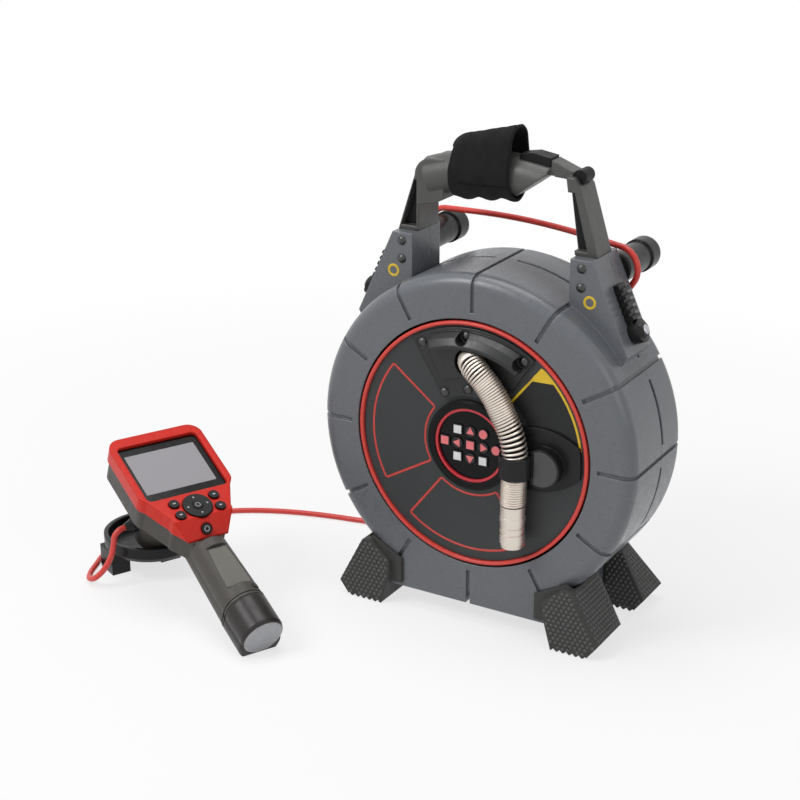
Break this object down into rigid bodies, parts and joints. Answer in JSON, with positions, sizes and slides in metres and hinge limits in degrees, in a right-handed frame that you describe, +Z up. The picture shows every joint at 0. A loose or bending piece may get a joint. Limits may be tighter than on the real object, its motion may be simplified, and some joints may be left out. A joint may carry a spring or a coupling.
{
  "type": "pipe inspection camera",
  "caption": "Push-cable reel on treaded feet with a spinning drum, a sprung camera head and counter keys, cabled to a pistol-grip display handset that stands in a small dock.",
  "frame": {"origin": "middle of the footprint of the reel, dock and handset together, on the floor", "axes": "+X to the reel's right as seen from its front, +Y to its back, along the drum axis, +Z up"},
  "size_m": [0.5167, 0.3017, 0.437],
  "materials": {
    "shell_grey": "fine moulded grain",
    "handle_grey": "fine moulded grain",
    "black_plastic": "satin moulded",
    "webbing": "woven hook-and-loop band",
    "foot_rubber": "pebbled",
    "black_screw": "black oxide",
    "bright_steel": "turned",
    "cable_red": "smooth jacket",
    "hub_charcoal": "fine moulded grain",
    "trim_red": "smooth",
    "contact_brass": "turned",
    "black_rubber": "smooth",
    "spring_steel": "bright wound wire",
    "clear_window": "clear",
    "key_pink": "soft membrane",
    "key_white": "soft membrane",
    "handset_red": "smooth",
    "handset_grey": "soft-touch",
    "screen_black": "gloss",
    "screen_grey": "matt panel",
    "handset_key": "satin",
    "battery_grey": "satin"
  },
  "bodies": {
    "reel": {"front_shell": "shell_grey", "rear_shell": "shell_grey", "handle": "handle_grey", "handle_insert": "black_plastic", "strap": "webbing", "front_left_foot": "foot_rubber", "front_right_foot": "foot_rubber", "rear_left_foot": "foot_rubber", "rear_right_foot": "foot_rubber", "left_post": "black_plastic", "right_post": "black_plastic", "left_lug": "black_plastic", "right_lug": "black_plastic", "case_screws": "black_screw", "axle": "bright_steel", "rear_cap": "black_plastic", "cable_gland": "black_plastic", "cable_tail": "cable_red", "cable_winding": "cable_red", "cable_lead": "cable_red", "dock": "black_plastic"},
    "drum": {"hub_disc": "hub_charcoal", "trim_ring": "trim_red", "drum_pan": "hub_charcoal", "drum_bearing": "bright_steel", "slip_ring": "contact_brass", "push_cable": "black_rubber", "cable_guide": "black_plastic", "hub_screws": "black_screw", "camera_clip": "black_plastic", "camera_core": "black_rubber", "camera_spring": "spring_steel", "camera_head": "spring_steel", "camera_window": "clear_window", "counter_body": "black_plastic", "counter_bezel": "trim_red"},
    "key_up_button": {"key_up": "key_pink"},
    "key_down_button": {"key_down": "key_pink"},
    "key_left_button": {"key_left": "key_pink"},
    "key_right_button": {"key_right": "key_pink"},
    "key_enter_button": {"key_enter": "key_pink"},
    "key_circle_button": {"key_circle": "key_pink"},
    "key_home_button": {"key_home": "key_pink"},
    "key_round_button": {"key_round": "key_pink"},
    "key_top_button": {"key_top": "key_white"},
    "key_low_left_button": {"key_low_left": "key_white"},
    "key_low_right_button": {"key_low_right": "key_white"},
    "handset": {"handset_front": "handset_red", "handset_rear": "handset_grey", "display_window": "screen_black", "lcd_panel": "screen_grey", "cable_plug": "black_plastic"},
    "handset_dpad_button": {"handset_dpad": "handset_key"},
    "handset_select_button": {"handset_select": "handset_key"},
    "handset_key_1_button": {"handset_key_1": "handset_key"},
    "handset_key_2_button": {"handset_key_2": "handset_key"},
    "handset_key_3_button": {"handset_key_3": "handset_key"},
    "handset_key_4_button": {"handset_key_4": "handset_key"},
    "power_key_button": {"power_key": "handset_key"},
    "battery_pack": {"battery": "battery_grey"}
  },
  "joints": [
    {"name": "drum_spin", "type": "hinge", "parent": "reel", "child": "drum", "pos_m": [0.10377, 0.05985, 0.169], "axis": [0, 1, 0], "continuous": true},
    {"name": "key_up_press", "type": "slide", "parent": "drum", "child": "key_up_button", "axis": [0, 1, 0], "range_m": [0, 0.0006], "stiffness_N_per_m": 600},
    {"name": "key_down_press", "type": "slide", "parent": "drum", "child": "key_down_button", "axis": [0, 1, 0], "range_m": [0, 0.0006], "stiffness_N_per_m": 600},
    {"name": "key_left_press", "type": "slide", "parent": "drum", "child": "key_left_button", "axis": [0, 1, 0], "range_m": [0, 0.0006], "stiffness_N_per_m": 600},
    {"name": "key_right_press", "type": "slide", "parent": "drum", "child": "key_right_button", "axis": [0, 1, 0], "range_m": [0, 0.0006], "stiffness_N_per_m": 600},
    {"name": "key_enter_press", "type": "slide", "parent": "drum", "child": "key_enter_button", "axis": [0, 1, 0], "range_m": [0, 0.0006], "stiffness_N_per_m": 600},
    {"name": "key_circle_press", "type": "slide", "parent": "drum", "child": "key_circle_button", "axis": [0, 1, 0], "range_m": [0, 0.0006], "stiffness_N_per_m": 600},
    {"name": "key_home_press", "type": "slide", "parent": "drum", "child": "key_home_button", "axis": [0, 1, 0], "range_m": [0, 0.0006], "stiffness_N_per_m": 600},
    {"name": "key_round_press", "type": "slide", "parent": "drum", "child": "key_round_button", "axis": [0, 1, 0], "range_m": [0, 0.0006], "stiffness_N_per_m": 600},
    {"name": "key_top_press", "type": "slide", "parent": "drum", "child": "key_top_button", "axis": [0, 1, 0], "range_m": [0, 0.0006], "stiffness_N_per_m": 600},
    {"name": "key_low_left_press", "type": "slide", "parent": "drum", "child": "key_low_left_button", "axis": [0, 1, 0], "range_m": [0, 0.0006], "stiffness_N_per_m": 600},
    {"name": "key_low_right_press", "type": "slide", "parent": "drum", "child": "key_low_right_button", "axis": [0, 1, 0], "range_m": [0, 0.0006], "stiffness_N_per_m": 600},
    {"name": "handset_lift", "type": "slide", "parent": "reel", "child": "handset", "axis": [0.3656, -0.1783, 0.9135], "range_m": [0, 0.1]},
    {"name": "handset_dpad_press", "type": "slide", "parent": "handset", "child": "handset_dpad_button", "axis": [-0.3656, 0.1783, -0.9135], "range_m": [0, 0.001], "stiffness_N_per_m": 600},
    {"name": "handset_select_press", "type": "slide", "parent": "handset", "child": "handset_select_button", "axis": [-0.3656, 0.1783, -0.9135], "range_m": [0, 0.001], "stiffness_N_per_m": 600},
    {"name": "handset_key_1_press", "type": "slide", "parent": "handset", "child": "handset_key_1_button", "axis": [-0.3656, 0.1783, -0.9135], "range_m": [0, 0.001], "stiffness_N_per_m": 600},
    {"name": "handset_key_2_press", "type": "slide", "parent": "handset", "child": "handset_key_2_button", "axis": [-0.3656, 0.1783, -0.9135], "range_m": [0, 0.001], "stiffness_N_per_m": 600},
    {"name": "handset_key_3_press", "type": "slide", "parent": "handset", "child": "handset_key_3_button", "axis": [-0.3656, 0.1783, -0.9135], "range_m": [0, 0.001], "stiffness_N_per_m": 600},
    {"name": "handset_key_4_press", "type": "slide", "parent": "handset", "child": "handset_key_4_button", "axis": [-0.3656, 0.1783, -0.9135], "range_m": [0, 0.001], "stiffness_N_per_m": 600},
    {"name": "power_key_press", "type": "slide", "parent": "handset", "child": "power_key_button", "axis": [-0.8273, 0.4035, -0.3907], "range_m": [0, 0.001], "stiffness_N_per_m": 600},
    {"name": "battery_slide", "type": "slide", "parent": "handset", "child": "battery_pack", "axis": [0.8211, -0.4005, -0.4067], "range_m": [0, 0.06]}
  ]
}
